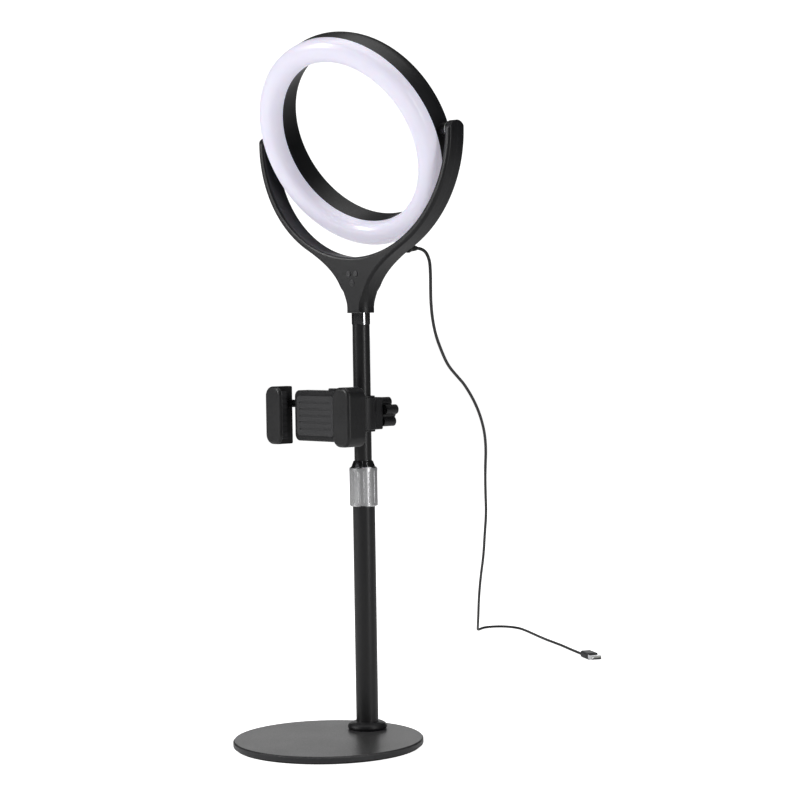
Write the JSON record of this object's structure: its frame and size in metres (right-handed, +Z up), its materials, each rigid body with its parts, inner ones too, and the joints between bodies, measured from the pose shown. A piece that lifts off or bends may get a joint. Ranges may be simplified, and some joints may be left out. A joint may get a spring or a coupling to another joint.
{
  "type": "ring light",
  "caption": "Desk ring light with a weighted disc base, telescopic mast, tilting lamp head in a yoke, clamp-on handset holder and a loose power cord.",
  "frame": {"origin": "centre of the disc base's underside, on the surface the lamp stands on", "axes": "+Z up along the mast, the lamp faces -Y, +X to the lamp's right-hand side as seen from in front"},
  "size_m": [0.4474, 0.7655, 0.6438],
  "materials": {
    "black_plastic": "fine moulded satin",
    "black_coat": "powder coat",
    "black_tube": "satin paint",
    "silver_paint": "satin silver",
    "chrome": "bright plated",
    "steel": "zinc plated",
    "brass": "turned",
    "white_lens": "frosted",
    "rubber": "matt",
    "grey_rubber": "ribbed",
    "nylon": "moulded",
    "key_plastic": "moulded",
    "board": "solder resist",
    "led_yellow": "resin",
    "cord_black": "extruded"
  },
  "bodies": {
    "stand": {"base_pad": "rubber", "base_plate": "black_coat", "foot_screw": "steel", "foot_washer": "steel", "foot_insert": "steel", "foot_flange": "black_plastic", "lower_tube": "black_tube"},
    "collar": {"locking_collar": "silver_paint", "collar_cap": "chrome"},
    "collet": {"split_collet": "nylon", "plug_body": "black_plastic", "plug_shell": "chrome", "plug_tongue": "nylon"},
    "mast": {"upper_tube": "black_tube", "guide_bush": "nylon", "neck_ferrule": "chrome", "yoke_front_shell": "black_plastic", "yoke_rear_shell": "black_plastic", "yoke_screws": "steel", "control_board": "board", "tact_switches": "key_plastic", "ring_lead": "cord_black", "cord_gland": "rubber", "usb_cord": "cord_black"},
    "head": {"ring_housing": "black_plastic", "diffuser": "white_lens", "led_board": "board", "leds": "led_yellow", "housing_screws": "steel", "pivot_pin_left": "steel", "pivot_pin_right": "steel", "friction_washer_left": "nylon", "friction_washer_right": "nylon"},
    "power_key": {"power_button": "key_plastic"},
    "colour_key": {"colour_button": "key_plastic"},
    "dimmer_key": {"dimmer_button": "key_plastic"},
    "liner": {"clamp_liner": "black_plastic"},
    "clamp": {"clamp_body": "black_plastic"},
    "shoe": {"pressure_shoe": "rubber"},
    "knob": {"clamp_screw": "steel", "clamp_knob": "black_plastic", "knob_cap": "key_plastic"},
    "nut": {"ball_nut": "black_plastic"},
    "ball": {"ball_stud": "steel"},
    "holder": {"holder_back": "black_plastic", "holder_front": "black_plastic", "holder_screws": "steel", "holder_pad": "grey_rubber", "pinion_pin": "steel", "release_latch": "steel"},
    "gear": {"pinion": "nylon"},
    "jaw_l": {"jaw_left": "black_plastic", "jaw_pad_left": "grey_rubber"},
    "jaw_r": {"jaw_right": "black_plastic", "jaw_pad_right": "grey_rubber"},
    "release": {"release_button": "key_plastic"}
  },
  "joints": [
    {"name": "collar_twist", "type": "hinge", "parent": "stand", "child": "collar", "pos_m": [0, 0.054, 0.23], "axis": [0, 0, 1], "range_deg": [0, 270]},
    {"name": "mast_swivel", "type": "hinge", "parent": "stand", "child": "collet", "pos_m": [0, 0.054, 0.23], "axis": [0, 0, 1], "range_deg": [-170, 170]},
    {"name": "mast_height", "type": "slide", "parent": "collet", "child": "mast", "axis": [0, 0, 1], "range_m": [-0.02, 0.06]},
    {"name": "head_tilt", "type": "hinge", "parent": "mast", "child": "head", "pos_m": [0, 0.054, 0.551], "axis": [1, 0, 0], "range_deg": [-110, 60]},
    {"name": "power_press", "type": "slide", "parent": "mast", "child": "power_key", "axis": [0, 1, 0], "range_m": [0, 0.0008], "stiffness_N_per_m": 600, "springref_m": -0.0008},
    {"name": "colour_press", "type": "slide", "parent": "mast", "child": "colour_key", "axis": [0, 1, 0], "range_m": [0, 0.0008], "stiffness_N_per_m": 600, "springref_m": -0.0008},
    {"name": "dimmer_press", "type": "slide", "parent": "mast", "child": "dimmer_key", "axis": [0, 1, 0], "range_m": [0, 0.0008], "stiffness_N_per_m": 600, "springref_m": -0.0008},
    {"name": "holder_height", "type": "slide", "parent": "mast", "child": "liner", "axis": [0, 0, 1], "range_m": [-0.005, 0.055]},
    {"name": "holder_swing", "type": "hinge", "parent": "liner", "child": "clamp", "pos_m": [0, 0.054, 0.298], "axis": [0, 0, 1], "range_deg": [-90, 90]},
    {"name": "shoe_travel", "type": "slide", "parent": "clamp", "child": "shoe", "axis": [0.1392, 0.9903, 0], "range_m": [0, 0.001]},
    {"name": "knob_turn", "type": "hinge", "parent": "shoe", "child": "knob", "pos_m": [0.00417, 0.08371, 0.298], "axis": [0.1392, 0.9903, 0], "range_deg": [0, 360]},
    {"name": "nut_turn", "type": "hinge", "parent": "clamp", "child": "nut", "pos_m": [-0.0039, 0.02627, 0.298], "axis": [0.1392, 0.9903, 0], "range_deg": [-30, 30]},
    {"name": "holder_tilt", "type": "hinge", "parent": "clamp", "child": "ball", "pos_m": [-0.0039, 0.02627, 0.298], "axis": [0.9903, -0.1392, 0], "range_deg": [-20, 20]},
    {"name": "holder_rotate", "type": "hinge", "parent": "ball", "child": "holder", "pos_m": [-0.0039, 0.02627, 0.298], "axis": [0.1392, 0.9903, 0], "range_deg": [-90, 90]},
    {"name": "jaw_travel", "type": "slide", "parent": "holder", "child": "jaw_l", "axis": [-0.9903, 0.1392, 0], "range_m": [-0.011, 0.004]},
    {"name": "jaw_follow", "type": "slide", "parent": "holder", "child": "jaw_r", "axis": [0.9903, -0.1392, 0], "range_m": [-0.011, 0.004]},
    {"name": "gear_spin", "type": "hinge", "parent": "holder", "child": "gear", "pos_m": [-0.00696, 0.00449, 0.298], "axis": [0.1392, 0.9903, 0], "range_deg": [-40, 107]},
    {"name": "release_press", "type": "slide", "parent": "holder", "child": "release", "axis": [0, 0, -1], "range_m": [0, 0.0015], "stiffness_N_per_m": 700, "springref_m": -0.001}
  ],
  "couplings": [
    {"joint": "shoe_travel", "follows": "knob_turn", "m_per_rad": 0.00015915},
    {"joint": "jaw_follow", "follows": "jaw_travel", "ratio": 1},
    {"joint": "gear_spin", "follows": "jaw_travel", "rad_per_m": -166.67}
  ]
}
